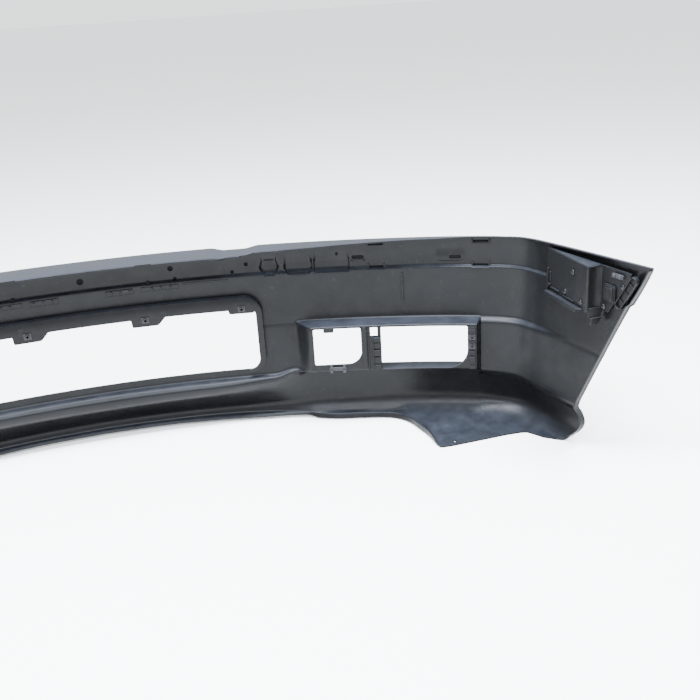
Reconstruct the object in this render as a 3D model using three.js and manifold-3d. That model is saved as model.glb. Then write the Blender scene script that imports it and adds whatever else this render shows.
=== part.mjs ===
// Moulded front bumper cover of a compact saloon, seen and built as the loose service part:
// one thin skin with its air opening, ducts and lamp openings, a folded box bracket, a guide
// rail and a backing plate on each side wall, and the rivets, nuts and clips that stay on it.
// Millimetres. X across the car, -Y the painted front face, +Y the hollow inner side, Z up.
// Every plan position is measured outboard from the centre line and mirrored to both sides.
import * as THREE from 'three';
import Module from 'manifold-3d';
import { mergeVertices } from 'three/addons/utils/BufferGeometryUtils.js';

// ---- overall sizes ----
const HALF_WIDTH = 846;      // centre line to the upper rear corner of a side wall
const DEPTH = 495;           // front of the top edge back to the upper rear corner
const HEIGHT = 355;          // floor flange to the top edge at the centre
const END_RISE = 15;         // how much higher the rear corners are than the centre
const WALL = 3;              // moulded wall thickness

// ---- heights of the bands, from the top down ----
const BAND_TALL = 57;        // trim band above the main wall
const WALL_TALL = 95;        // main wall between the band and the lamp pocket
const POCKET_TALL = 88;      // lamp pocket
const RIM_RAISE = 5;         // middle of the lower rim sits this much above the floor flange
const RIM_WIDE = 9;          // sloping rim along the free edge of the floor
const RIM_TALL = 14;         // height of its crest

// ---- depths ----
const FLANGE_MID = 75;       // top flange over the grille
const FLANGE_LAMP = 56;      // top flange where the headlamps start
const FLANGE_SIDE = 9;       // top flange along the side walls
const POCKET_DEEP = 34;      // lamp pocket, from the main wall inward
const SIDE_STEP = 8;         // main wall to lower side wall
const ARCH_LIP = 8;          // turned-in lip along the wheel arch

// ---- openings ----
const AIR_HALF = 316;        // central air opening, half its width
const AIR_FLANGE = 21;       // flange hanging along its upper edge
const AIR_LEDGE = 13;        // how far that flange stands inward of the wall
const AIR_CORNER = 30;
const POCKET_IN = 409, POCKET_OUT = 701; // lamp pocket, as places along the front wall
const DUCT_OUT = 497;                    // brake duct, from the pocket's inner end
const LAMP_IN = 533, LAMP_OUT = 686;     // fog lamp opening

// ---- fitted pieces ----
const GAP = 0.4;             // clearance between a fitted piece and what it sits on
const RIVET_HEAD = 10, RIVET_SHANK = 4.6;
const BRACKET_WALL = 2.6;
const BRACKET_TALL = 76;
const RAIL_WIDE = 15, RAIL_DEEP = 7;

const wide = HALF_WIDTH / 846;
const deep = DEPTH / 495;
const bandZ = HEIGHT - BAND_TALL;
const wallZ = bandZ - WALL_TALL;
const shelfZ = wallZ - POCKET_TALL;      // bottom of the lamp pocket
const low = shelfZ / 115;                // chin rows follow the height left below the pocket
const airTop = bandZ - 40;
const airLow = shelfZ - 2;
const airHalf = AIR_HALF * wide;
const backO = -6 - POCKET_DEEP - 1;       // inner face of the lamp pocket's back

const wasm = await Module();
wasm.setup();
const toSolid = (geometry) => {
  let g = geometry.clone();
  g.deleteAttribute('normal');
  g.deleteAttribute('uv');
  g = mergeVertices(g, 1e-4);
  const vertProperties = Float32Array.from(g.attributes.position.array);
  const triVerts = Uint32Array.from(g.index.array);
  return new wasm.Manifold(new wasm.Mesh({ numProp: 3, vertProperties, triVerts }));
};
const toGeometry = (solid) => {
  const m = solid.getMesh();
  const g = new THREE.BufferGeometry();
  g.setAttribute('position', new THREE.BufferAttribute(Float32Array.from(m.vertProperties), 3));
  g.setIndex(new THREE.BufferAttribute(Uint32Array.from(m.triVerts), 1));
  g.computeVertexNormals();
  return g;
};

const lerp = THREE.MathUtils.lerp;
const ramp = (v, a, b) => THREE.MathUtils.smoothstep(v, a, b);
const table = (rows, v) => {             // straight-line reading of a [position, value...] table
  if (v <= rows[0][0]) return rows[0].slice(1);
  for (let i = 1; i < rows.length; i++) {
    if (v <= rows[i][0]) {
      const k = (v - rows[i - 1][0]) / (rows[i][0] - rows[i - 1][0]);
      return rows[i].slice(1).map((b, c) => lerp(rows[i - 1][c + 1], b, k));
    }
  }
  return rows[rows.length - 1].slice(1);
};

// ---- plan curve of the top edge, centre to behind the rear corner ----
const planPoints = [[-150, 7], [0, 0], [150, 7], [300, 28.5], [450, 64], [600, 113], [690, 151],
  [742, 179], [766, 201], [780, 229], [791, 266], [809, 338], [827, 414], [846, 495], [855, 533]];
const planCurve = new THREE.CatmullRomCurve3(
  planPoints.map(([x, y]) => new THREE.Vector3(x * wide, y * deep, 0)), false, 'centripetal');
const plan = [];                         // points with run length from the centre line
{
  let run = 0;
  let last = null;
  for (let i = 0; i <= 1400; i++) {
    const p = planCurve.getPoint(i / 1400);
    if (p.x < 0) continue;
    if (last) run += Math.hypot(p.x - last.x, p.y - last.y);
    plan.push([run, p.x, p.y]);
    last = p;
  }
  plan[0][1] = 0;
}
const planAt = (run) => {
  const [x, y] = table(plan, run);
  const [xb, yb] = table(plan, run + 1.5);
  const [xa, ya] = table(plan, Math.max(0, run - 1.5));
  const t = Math.hypot(xb - xa, yb - ya);
  const tx = run < 1 ? 1 : (xb - xa) / t;
  const ty = run < 1 ? 0 : (yb - ya) / t;
  return { x, y, tx, ty, nx: ty, ny: -tx };
};
const runAtX = (x) => plan.find((p) => p[1] >= x * wide)[0];
const runAtY = (y) => plan.find((p) => p[2] >= y * deep)[0];
const cornerRun = runAtX(745);

// ---- rear edge of the side wall (wheel arch): plan depth against height ----
const archRows = [[0, 305], [20, 335], [38, 349], [52, 354], [74, 352], [87, 354], [142, 379],
  [194, 402], [244, 425], [292, 450], [339, 478], [370, 495]];
const archRun = (z) => runAtY(table(archRows, z * 370 / (HEIGHT + END_RISE))[0]);

// ---- section of the inner surface: outward offset and height of each row ----
// chin rows by position: x on the front, 745 + 100 q on the side (q from corner to arch)
const chin = [
  // at     o9   z9   o10  z10  o11  z11  o12  z12  o13 z13 o14 z14  o15 z15
  [0,      -8,  98, -20,  94, -22,  82, -14,  66,  12, 44, 28, 24,  24, 11],
  [200,    -8,  98, -20,  94, -21,  84, -13,  68,  10, 44, 24, 24,  20, 11],
  [330,   -10, 100, -20,  96, -20,  88, -12,  76,   6, 48, 16, 26,  10, 11],
  [POCKET_IN - 35, -16, 112, -22, 106, -16, 100, -10,  90,   4, 56, 11, 28,   3, 11],
  [POCKET_IN, backO, 112, backO + 4, 108, backO + 16, 108,  -8, 110,   3, 66,   8, 30,  -4, 11],
  [DUCT_OUT + 6, backO, 112, backO + 4, 108, backO + 16, 108,  -8, 110,   3, 68,   7, 32,  -7, 11],
  [LAMP_IN, backO, 111, backO + 4, 107, backO + 16, 108,  -8, 111,   3, 70,   6, 34,  -9, 11],
  [POCKET_OUT, backO, 111, backO + 4, 107, backO + 16, 108,  -7, 111,   3, 66,   6, 32, -12, 11],
  [POCKET_OUT + 6, -15, 108, -15, 98, -12,  93,  -6,  88,   4, 62,   7, 31, -12, 12],
  [745,   -15, 110, -15,  96, -12,  90,  -3,  76,   6, 52,  9, 28,  -8, 12],
  [795,   -14, 100, -14,  88, -11,  82,  -2,  70,   8, 48,  9, 28,  -2, 12],
  [845,   -10,  98, -10,  86,  -7,  80,   1,  70,   8, 50,  9, 30,   3, 13],
];
// free edge of the floor: chin position against the plan point it runs to
const floorEdge = [
  [0, 0, -9], [100, 100, -4.5], [200, 200, 9], [300, 300, 31.5], [392, 389, 57], [405, 406, 68],
  [442, 442, 85], [480, 479, 96], [530, 534, 116], [550, 550, 129], [564, 564, 152],
  [576, 572, 185], [588, 579, 222], [598, 581, 256], [606, 588, 263], [620, 606, 264],
  [661, 661, 262], [705, 715, 260], [745, 742, 261], [765, 752, 264], [790, 762, 277],
  [815, 773, 293], [845, 786, 305],
];
const sectionAt = (at) => {
  const x = Math.min(at, 745);
  const side = Math.max(0, (at - 745) / 100);
  const inPocket = ramp(x, POCKET_IN - 35, POCKET_IN) * (1 - ramp(x, POCKET_OUT, POCKET_OUT + 6));
  const outboard = ramp(x, POCKET_OUT, POCKET_OUT + 6);
  const fl = at < 620
    ? lerp(lerp(FLANGE_MID, FLANGE_LAMP, ramp(x, 240, 272)), 20, ramp(x, 300, 640))
    : lerp(20, FLANGE_SIDE, ramp(x, 620, 700));
  const dip = 5 * ramp(x, 236, 262) * (1 - ramp(x, 296, 326));
  const top = HEIGHT + END_RISE * side - dip - WALL;
  const near = -6 - POCKET_DEEP * inPocket - SIDE_STEP * outboard * (1 - ramp(side, 0.15, 0.75));
  const c = table(chin, at);
  const rows = [
    [-fl, top], [-WALL - 1, top], [-WALL, top - 3], [-WALL + 3, (top + bandZ) / 2],
    [-WALL + 3, bandZ + 3], [-WALL - 3, bandZ], [-4, (bandZ + wallZ) / 2], [-6, wallZ],
    [near, wallZ - 3 - 4 * outboard], [near - 1, wallZ - 9 - 4 * outboard],
  ];
  for (let i = 0; i < 14; i += 2) rows.push([c[i], c[i + 1] * low]);
  return rows;
};
const stationPoint = (at, o, z) => {
  const side = Math.max(0, (at - 745) / 100);
  const run = side > 0 ? lerp(cornerRun, archRun(z), side) : runAtX(at);
  const p = planAt(at === 0 ? 0 : run);
  return new THREE.Vector3(p.x + p.nx * o, p.y + p.ny * o, z);
};
const innerColumn = (at) => {
  const column = sectionAt(at).map(([o, z]) => stationPoint(at, o, z));
  const foot = column[column.length - 1];
  const [ex, ey] = table(floorEdge, at);
  const flat = ramp(at, 582, 606);
  const raise = Math.max(RIM_RAISE * (1 - ramp(at, 388, 406)), 0.5 * (1 - flat));
  const edge = new THREE.Vector3(ex * wide, ey * deep, WALL + raise);
  const back = foot.clone().setZ(edge.z).sub(edge);
  const inset = lerp(RIM_WIDE, RIM_WIDE / 2, ramp(at, 388, 406));
  const bead = edge.clone().addScaledVector(back.clone().normalize(), Math.min(inset, back.length() / 3));
  bead.z = lerp(RIM_TALL, WALL, flat);
  const middle = foot.clone().lerp(bead, 0.5);
  middle.z = lerp(8, WALL, flat);
  column.push(middle, bead, edge);
  return column;
};
const stations = [0, 70, 140, 205, 240, 262, 300, 326, 350,
  POCKET_IN - 35, POCKET_IN - 18, POCKET_IN, 455, DUCT_OUT + 6, LAMP_IN - 6,
  550, 564, 576, 588, 598, 606, 620, 661, POCKET_OUT, POCKET_OUT + 6,
  728, 745, 752, 759, 766, 774, 785, 800, 822, 845];

// closed thin sheet from a grid of points, thickened on the outward side
const shell = (grid, thick) => {
  const nc = grid.length, nr = grid[0].length;
  const faceN = (i, j) => {
    const a = grid[i + 1][j + 1].clone().sub(grid[i][j]);
    const b = grid[i][j + 1].clone().sub(grid[i + 1][j]);
    return b.cross(a).normalize();
  };
  const outer = grid.map((col, i) => col.map((p, j) => {
    const around = [];
    for (const [di, dj] of [[-1, -1], [0, -1], [-1, 0], [0, 0]]) {
      const a = i + di, b = j + dj;
      if (a >= 0 && b >= 0 && a < nc - 1 && b < nr - 1) around.push(faceN(a, b));
    }
    const n = around.reduce((s, v) => s.add(v), new THREE.Vector3()).normalize();
    const least = Math.min(...around.map((v) => v.dot(n)));
    return p.clone().addScaledVector(n, thick / Math.max(0.7, least));
  }));
  const pos = [], idx = [];
  const inAt = (i, j) => i * nr + j, outAt = (i, j) => nc * nr + i * nr + j;
  for (const set of [grid, outer]) for (const col of set) for (const p of col) pos.push(p.x, p.y, p.z);
  const quad = (a, b, c, d) => idx.push(a, b, c, a, c, d);
  for (let i = 0; i < nc - 1; i++) {
    for (let j = 0; j < nr - 1; j++) {
      quad(outAt(i, j), outAt(i, j + 1), outAt(i + 1, j + 1), outAt(i + 1, j));
      quad(inAt(i, j), inAt(i + 1, j), inAt(i + 1, j + 1), inAt(i, j + 1));
    }
    quad(inAt(i, 0), outAt(i, 0), outAt(i + 1, 0), inAt(i + 1, 0));
    quad(inAt(i, nr - 1), inAt(i + 1, nr - 1), outAt(i + 1, nr - 1), outAt(i, nr - 1));
  }
  for (let j = 0; j < nr - 1; j++) {
    quad(inAt(0, j), inAt(0, j + 1), outAt(0, j + 1), outAt(0, j));
    quad(inAt(nc - 1, j), outAt(nc - 1, j), outAt(nc - 1, j + 1), inAt(nc - 1, j + 1));
  }
  const g = new THREE.BufferGeometry();
  g.setAttribute('position', new THREE.Float32BufferAttribute(pos, 3));
  g.setIndex(idx);
  return g;
};

// closed bar: the same closed loop of points carried through a list of frames
const loft = (loops) => {
  const n = loops[0].length, pos = [], idx = [];
  for (const loop of loops) for (const p of loop) pos.push(p.x, p.y, p.z);
  for (let i = 0; i < loops.length - 1; i++) {
    for (let j = 0; j < n; j++) {
      const a = i * n + j, b = i * n + (j + 1) % n;
      idx.push(a, b, b + n, a, b + n, a + n);
    }
  }
  // both ends are closed with the same triangles, found in the plane of the first loop
  const first = loops[0];
  const arm = (p) => p.clone().sub(first[0]);
  const ax = arm(first[1]).normalize();
  const up = new THREE.Vector3();
  for (let j = 0; j < n; j++) up.add(arm(first[j]).cross(arm(first[(j + 1) % n])));
  const ay = up.normalize().clone().cross(ax);
  const inPlane = (p) => new THREE.Vector2(arm(p).dot(ax), arm(p).dot(ay));
  const caps = THREE.ShapeUtils.triangulateShape(first.map(inPlane), []);
  const last = (loops.length - 1) * n;
  for (const [a, b, c] of caps) {
    idx.push(a, c, b);
    idx.push(last + a, last + b, last + c);
  }
  const g = new THREE.BufferGeometry();
  g.setAttribute('position', new THREE.Float32BufferAttribute(pos, 3));
  g.setIndex(idx);
  return g;
};
const facingOut = (geometry) => {        // turns a closed body right side out
  let s = toSolid(geometry);
  if (s.volume() < 0) {
    const i = geometry.index.array;
    for (let k = 0; k < i.length; k += 3) [i[k], i[k + 1]] = [i[k + 1], i[k]];
    s = toSolid(geometry);
  }
  return s;
};
// flat plate: outline in (x, z) or (x, y), carried along the third axis
const plate = (outline, thick, place) => {
  const shape = new THREE.Shape(outline.map(([a, b]) => new THREE.Vector2(a, b)));
  const g = new THREE.ExtrudeGeometry(shape, { depth: Math.abs(thick), bevelEnabled: false });
  g.translate(0, 0, Math.min(0, thick));
  g.applyMatrix4(place);
  return toSolid(g);
};
const frameAt = (origin, xAxis, yAxis) => {
  const z = xAxis.clone().cross(yAxis).normalize();
  return new THREE.Matrix4().makeBasis(xAxis.clone().normalize(), yAxis.clone().normalize(), z)
    .setPosition(origin);
};
const rounded = (w, h, r, steps = 4) => {
  const out = [];
  for (const [cx, cy, a] of [[w / 2 - r, -h / 2 + r, -90], [w / 2 - r, h / 2 - r, 0],
    [-w / 2 + r, h / 2 - r, 90], [-w / 2 + r, -h / 2 + r, 180]]) {
    for (let k = 0; k <= steps; k++) {
      const t = THREE.MathUtils.degToRad(a + 90 * k / steps);
      out.push([cx + r * Math.cos(t), cy + r * Math.sin(t)]);
    }
  }
  return out;
};
const ring = (r, n) => Array.from({ length: n }, (_, k) =>
  [r * Math.cos(2 * Math.PI * k / n), r * Math.sin(2 * Math.PI * k / n)]);

const mirrorSolid = (s) => s.mirror([1, 0, 0]);
const bothSides = (list) => list.flatMap((s) => [s, mirrorSolid(s)]);
const join = (list) => list.reduce((a, b) => a.add(b));
const cut = (from, list) => list.reduce((a, b) => a.subtract(b), from);
// plate of the given outline standing on the front wall at x, its face at offset o
const onWall = (x, z, o, outline, thick) => {
  const p = planAt(runAtX(x / wide));
  const origin = new THREE.Vector3(p.x + p.nx * o, p.y + p.ny * o, z);
  const along = new THREE.Vector3(p.tx, p.ty, 0);
  return plate(outline, thick, frameAt(origin, along, new THREE.Vector3(0, 0, 1)));
};

// ---- skin ----
const half = stations.map(innerColumn);
const mirrored = half.slice(1).reverse().map((c) =>
  c.map((p) => new THREE.Vector3(-p.x, p.y, p.z)));
let skin = facingOut(shell([...mirrored, ...half], WALL));

// outward offset of the inner surface at a place on the front wall
const skinOffset = (x, z) => {
  const rows = sectionAt(x);
  for (let j = 2; j < rows.length - 1; j++) {
    if (z <= rows[j][1] && z >= rows[j + 1][1]) {
      const k = (rows[j][1] - z) / Math.max(1e-6, rows[j][1] - rows[j + 1][1]);
      return lerp(rows[j][0], rows[j + 1][0], k);
    }
  }
  return -6;
};
const wallPoint = (x, z, o) => {
  const p = planAt(x === 0 ? 0 : runAtX(Math.abs(x / wide)));
  const side = Math.sign(x) || 1;
  return new THREE.Vector3(side * (p.x + p.nx * o), p.y + p.ny * o, z);
};

// central air opening: cut out, then framed by a ledge and a hanging flange
const airTall = airTop - airLow;
const airHole = plate(rounded(2 * airHalf, airTall, AIR_CORNER, 5), 320,
  new THREE.Matrix4().makeRotationX(Math.PI / 2).setPosition(0, 200, (airTop + airLow) / 2));
// path of the frame around one half: place, height, direction into the opening, flange width
const framePath = [];
for (let k = 0; k <= 4; k++) {
  const t = (k / 4 - 1) * Math.PI / 2;
  framePath.push([airHalf - AIR_CORNER + AIR_CORNER * Math.cos(t),
    airLow + AIR_CORNER + AIR_CORNER * Math.sin(t), -Math.cos(t), -Math.sin(t), lerp(3, 9, k / 4)]);
}
for (let k = 1; k <= 3; k++) {
  framePath.push([airHalf, lerp(airLow + AIR_CORNER, airTop - AIR_CORNER, k / 3), -1, 0, 9]);
}
for (let k = 1; k <= 5; k++) {
  const t = k / 5 * Math.PI / 2;
  const cx = airHalf - AIR_CORNER, cz = airTop - AIR_CORNER;
  framePath.push([cx + AIR_CORNER * Math.cos(t), cz + AIR_CORNER * Math.sin(t),
    -Math.cos(t), -Math.sin(t), lerp(9, AIR_FLANGE, k / 5)]);
}
for (let k = 1; k <= 5; k++) {
  framePath.push([(airHalf - AIR_CORNER) * (1 - k / 5), airTop, 0, -1, AIR_FLANGE]);
}
const frameNear = -6 - AIR_LEDGE;
const frameLoops = [...framePath, ...framePath.slice(0, -1).reverse().map(([x, z, nx, nz, w]) =>
  [-x, z, -nx, nz, w])].map(([x, z, nx, nz, w]) => {
  const beside = z < airLow + 9 ? z - 3 : Math.min(z + 3, airTop + 3);
  const base = skinOffset(Math.min(Math.abs(x) / wide + 3, 340), beside) + 1.4;
  return [[-3, base], [-3, frameNear], [w, frameNear], [w, frameNear + WALL],
    [0.6, frameNear + WALL], [0.6, base]].map(([d, o]) => wallPoint(x + d * nx, z + d * nz, o));
});
const frame = facingOut(loft(frameLoops));
// grille tabs hanging from the flange, each with a hole for its nut
const tabs = [];
const tabHoles = [];
const TABS = [[105, 37, 22, 15], [282, 26, 21, 8]];   // centre, half top, half foot, drop
for (const [x, top, foot, drop] of TABS) {
  const z0 = airTop - AIR_FLANGE + 1;
  const outline = (turn) => [[-foot - 4, 0], [-foot - 2, -drop], [foot, -drop],
    [top, 0], [top, 4], [-foot - 4, 4]].map(([a, b]) => [a * turn, b]);
  const tab = (turn) => onWall(x * wide, z0, frameNear + WALL,
    turn > 0 ? outline(1) : outline(-1).reverse(), -WALL);
  tabs.push(tab(-1), mirrorSolid(tab(1)));
  tabHoles.push(onWall(x * wide, z0 - drop / 2 + 5, frameNear + 20, ring(3.2, 8), -40));
}

// turned-in lip along the wheel arch
const archColumn = innerColumn(845);
const lipLoops = archColumn.slice(2, 16).map((p) => {
  const q = planAt(archRun(p.z));
  const at = (n, t) => new THREE.Vector3(p.x + q.nx * n - q.tx * t, p.y + q.ny * n - q.ty * t, p.z);
  return [at(1, 0.2), at(1, WALL), at(-ARCH_LIP, WALL), at(-ARCH_LIP, 0.2)];
});
const archLip = facingOut(loft(lipLoops));

skin = join([skin.subtract(airHole), frame, ...tabs, ...bothSides([archLip])]);

// brake duct, lamp opening and the slot beside it, cut through the back of the lamp pocket
const through = (x0, x1, z0, z1, r = 1.5) => {
  const a = wallPoint(x0 * wide, (z0 + z1) / 2, backO);
  const b = wallPoint(x1 * wide, (z0 + z1) / 2, backO);
  const along = b.clone().sub(a);
  const place = frameAt(a.lerp(b, 0.5), along, new THREE.Vector3(0, 0, 1));
  return plate(rounded(along.length(), z1 - z0, r, 3), 24,
    place.multiply(new THREE.Matrix4().makeTranslation(0, 0, -12)));
};
const openTop = wallZ - 7;               // upper edge of both openings
const openLow = shelfZ + 9;              // lower edge of the brake duct
const lampLow = shelfZ - 3;              // lower edge of the lamp opening
const holes = [
  through(POCKET_IN + 1, DUCT_OUT - 30, openLow, openTop),
  through(POCKET_IN + 30, DUCT_OUT, openLow, openTop, 26),
  through(DUCT_OUT - 40, DUCT_OUT, openLow + 32, openTop),
  through(LAMP_IN, LAMP_OUT - 44, lampLow, openTop),
  through(LAMP_IN + 40, LAMP_OUT, lampLow, openTop, 38),
  through(LAMP_OUT - 60, LAMP_OUT, lampLow + 44, openTop),
  through(LAMP_IN - 19, LAMP_IN - 6, openTop - 17, openTop),
];
// clip slots of the trim band, above and below it, and notches in the flange edge
const SLOT_WIDE = 28, SLOT_TALL = 3.6;
const LEFT_OVER = 1;                     // skin left at the bottom of the blind slots and holes
const blind = (x, z, outline) => onWall(x * wide, z, skinOffset(x, z) + WALL - LEFT_OVER, outline, -22);
for (const x of [529, 706]) {
  for (const z of [HEIGHT - 9, bandZ + 2.5]) {
    holes.push(blind(x, z, rounded(SLOT_WIDE, SLOT_TALL, 1, 1)));
  }
}
const notch = (x) => {
  const p = planAt(x === 0 ? 0 : runAtX(x));
  const fl = -sectionAt(x)[0][0];
  const origin = new THREE.Vector3(p.x - p.nx * fl, p.y - p.ny * fl, HEIGHT - 9);
  return plate(rounded(SLOT_WIDE, 9, 1, 1), 20,
    frameAt(origin, new THREE.Vector3(p.tx, p.ty, 0), new THREE.Vector3(p.nx, p.ny, 0).negate()));
};
holes.push(notch(118), notch(304));
// small fixing holes of the trim and number plate, and one in each floor
for (const [x, z, r] of [[47, 291, 3], [62, 289, 3], [77, 292, 3], [118, 300, 3.5], [161, 323, 5],
  [167, 303, 3.5], [271, 306, 3.5], [297, 319, 4], [460, 329, 2.5]]) {
  holes.push(blind(x, z - 355 + HEIGHT, ring(r, 8)));
}
holes.push(blind(497, HEIGHT - 35, rounded(22, 7, 3.2, 2)), blind(664, HEIGHT - 39, rounded(22, 7, 3.2, 2)));
const floorHole = plate(ring(3.5, 8), 30, new THREE.Matrix4().setPosition(616 * wide, 252 * deep, -5));
holes.push(floorHole);
const LAMP_NUTS = [shelfZ + 60, shelfZ + 43];          // heights of the two lamp nuts
const lampNutX = (LAMP_OUT + 8) * wide;
for (const z of LAMP_NUTS) holes.push(onWall(lampNutX, z, backO + 10, ring(2.6, 8), -20));
skin = cut(skin, bothSides(holes));
skin = cut(skin, [blind(0, HEIGHT - 38, ring(6, 10))]);

// ---- side bracket: folded box on the side wall ----
const insideWall = (y, o) => {           // plan point a given offset inside the side wall
  const p = planAt(runAtY(y));
  return [p.x + p.nx * o, p.y + p.ny * o];
};
const seatO = -WALL - 3 - 1 - GAP;       // face of the side wall the bracket sits against
const bracketTop = HEIGHT - 3;
const bracketLow = bracketTop - BRACKET_TALL;
const boxIn = 786 * wide;                // inner face of the box
const cornerA = insideWall(268, seatO - BRACKET_WALL);
const cornerB = [boxIn, 401 * deep];
const cornerC = insideWall(396, seatO - BRACKET_WALL);
const wallRun = [408, 424, 440, 458].map((y) => insideWall(y, seatO - BRACKET_WALL));
const wallBack = [458, 440, 424, 408, 392].map((y) => insideWall(y, seatO));
const footA = insideWall(268, seatO);
const fold = [cornerA, cornerB, cornerC, ...wallRun, ...wallBack,
  [cornerC[0] - 1, cornerC[1] - BRACKET_WALL], [boxIn + BRACKET_WALL, cornerB[1] - BRACKET_WALL], footA];
const boxFace = (y) => lerp(cornerA[0], boxIn, (y - cornerA[1]) / (cornerB[1] - cornerA[1]));
const level = (z) => new THREE.Matrix4().setPosition(0, 0, z);
const bracketBody = plate(fold, BRACKET_TALL, level(bracketLow));
const capSeat = insideWall(390, seatO);
const cap = plate([[cornerA[0] + 0.2, cornerA[1] + 0.2], [boxIn + 0.2, cornerB[1] - 0.2],
  [cornerC[0], cornerC[1] - 0.2], capSeat, insideWall(360, seatO), insideWall(330, seatO),
  insideWall(300, seatO), insideWall(272, seatO)],
BRACKET_WALL, level(bracketTop - BRACKET_WALL));
const boxLedge = plate([[cornerA[0] - 9, cornerA[1] + 8], [boxIn - 9, cornerB[1] - 20],
  [boxIn + 1, cornerB[1] - 12], [cornerA[0] + 1, cornerA[1] + 2]],
BRACKET_WALL, level(bracketLow));
const upright = new THREE.Matrix4().makeRotationX(Math.PI / 2);
const hook = plate([[boxIn + 7, bracketLow - 23], [boxIn + 26, bracketLow - 23],
  [boxIn + 30, bracketLow + 6], [boxIn + 5, bracketLow + 6], [boxIn + 5, bracketLow - 8],
  [boxIn + 7, bracketLow - 10]], BRACKET_WALL,
upright.clone().setPosition(0, cornerB[1] - 1.2, 0));
const hookHole = plate(ring(3, 8).map(([a, b]) => [a + boxIn + 17, b + bracketLow - 15]), 30,
  upright.clone().setPosition(0, cornerB[1] + 15, 0));
// the wall leaf is lower at the back than the box
const railZ = bracketTop - 32;           // middle of the guide rail
const leafEdge = (z) => 440 * deep + (z - railZ) * 0.625;
const leafTrim = plate([[leafEdge(bracketLow - 5), bracketLow - 5], [leafEdge(bracketTop), bracketTop],
  [(leafEdge(bracketTop) - 6), bracketTop + 5], [600, bracketTop + 5], [600, bracketLow - 5]], 300,
frameAt(new THREE.Vector3(boxIn - 60, 0, 0), new THREE.Vector3(0, 1, 0), new THREE.Vector3(0, 0, 1)));
let bracket = join([bracketBody, boxLedge, hook]).subtract(hookHole).subtract(leafTrim).add(cap);

// rivets through the inner face of the box and through the wall leaf
const revolve = (profile, n = 10) =>
  toSolid(new THREE.LatheGeometry(profile.map(([r, h]) => new THREE.Vector2(r, h)), n));
const rivetShape = (shank) => revolve([[0, -shank], [RIVET_SHANK / 2, -shank], [RIVET_SHANK / 2, 0],
  [RIVET_HEAD / 2, 0], [RIVET_HEAD / 2 * 0.8, 1.3], [RIVET_HEAD / 4, 2], [0, 2.2]]);
const aim = (x, y, z, nx, ny) => {       // puts a piece made along +Y on a face with that normal
  const yAxis = new THREE.Vector3(nx, ny, 0).normalize();
  const zAxis = new THREE.Vector3(0, 0, 1);
  const xAxis = yAxis.clone().cross(zAxis);
  return new THREE.Matrix4().makeBasis(xAxis, yAxis, zAxis).setPosition(x, y, z);
};
const moved = (solid, m) => solid.transform(m.elements);
const pieces = [];
const piece = (name, solid, material) => pieces.push([name, solid, material]);

const bore = (m) => moved(revolve([[0, -8], [RIVET_SHANK / 2 + GAP, -8],
  [RIVET_SHANK / 2 + GAP, 8], [0, 8]]), m);
const rivets = [];
[[357, bracketLow + 56], [333, bracketLow + 15], [384, bracketLow + 13]].forEach(([y, z], i) => {
  const m = aim(boxFace(y * deep) - 0.3 - GAP, y * deep, z, -1, 0);
  bracket = bracket.subtract(bore(m));
  rivets.push([`box_rivet_${i + 1}`, moved(rivetShape(5), m)]);
});
[[441, bracketTop - 25], [402, bracketLow + 8]].forEach(([y, z], i) => {
  const p = planAt(runAtY(y));
  const o = seatO - BRACKET_WALL - GAP;
  const m = aim(p.x + p.nx * o, p.y + p.ny * o, z, -p.nx, -p.ny);
  bracket = bracket.subtract(bore(m));
  rivets.push([`wall_rivet_${i + 1}`, moved(rivetShape(1.8), m)]);
});

// backing plate on the wall leaf, guide rail behind it, both following the wall
const onSide = (y, z, o, outline, thick) => {
  const p = planAt(runAtY(y));
  const origin = new THREE.Vector3(p.x + p.nx * o, p.y + p.ny * o, z);
  return plate(outline, thick,
    frameAt(origin, new THREE.Vector3(p.tx, p.ty, 0), new THREE.Vector3(0, 0, 1)));
};
const leafFace = seatO - BRACKET_WALL - GAP - 0.5;
const backingZ = bracketLow + BRACKET_TALL * 34 / 76;
const backing = onSide(416, backingZ, leafFace, rounded(27, 30, 5, 2), -3.4)
  .add(onSide(416, backingZ, leafFace - 3, rounded(19, 21, 4, 2), -1.6));
const wallClip = onSide(433, bracketTop - 9, leafFace, rounded(24, 7, 2, 1), -4)
  .add(onSide(427, bracketTop - 9, leafFace - 3.6, ring(2.6, 8), -2))
  .add(onSide(439, bracketTop - 9, leafFace - 3.6, ring(2.6, 8), -2));
const railLean = -0.56;
const railLong = 68;
const lean = (pts) => pts.map(([a, b]) => [a * Math.cos(railLean) - b * Math.sin(railLean),
  a * Math.sin(railLean) + b * Math.cos(railLean)]);
const railSeat = seatO - 0.8;
const rail = onSide(452, railZ, railSeat, lean(rounded(RAIL_WIDE, railLong, 7, 3)), -RAIL_DEEP)
  .subtract(onSide(452, railZ, railSeat - 2.6,
    lean(rounded(RAIL_WIDE - 7, railLong + 12, 2, 1).map(([a, b]) => [a, b - 10])), -RAIL_DEEP));

piece('side_bracket', bracket, 'bracket');
piece('backing_plate', backing, 'bracket');
piece('wall_clip', wallClip, 'clip');
piece('guide_rail', rail, 'rail');
for (const [name, solid] of rivets) piece(name, solid, 'rivet');

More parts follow.
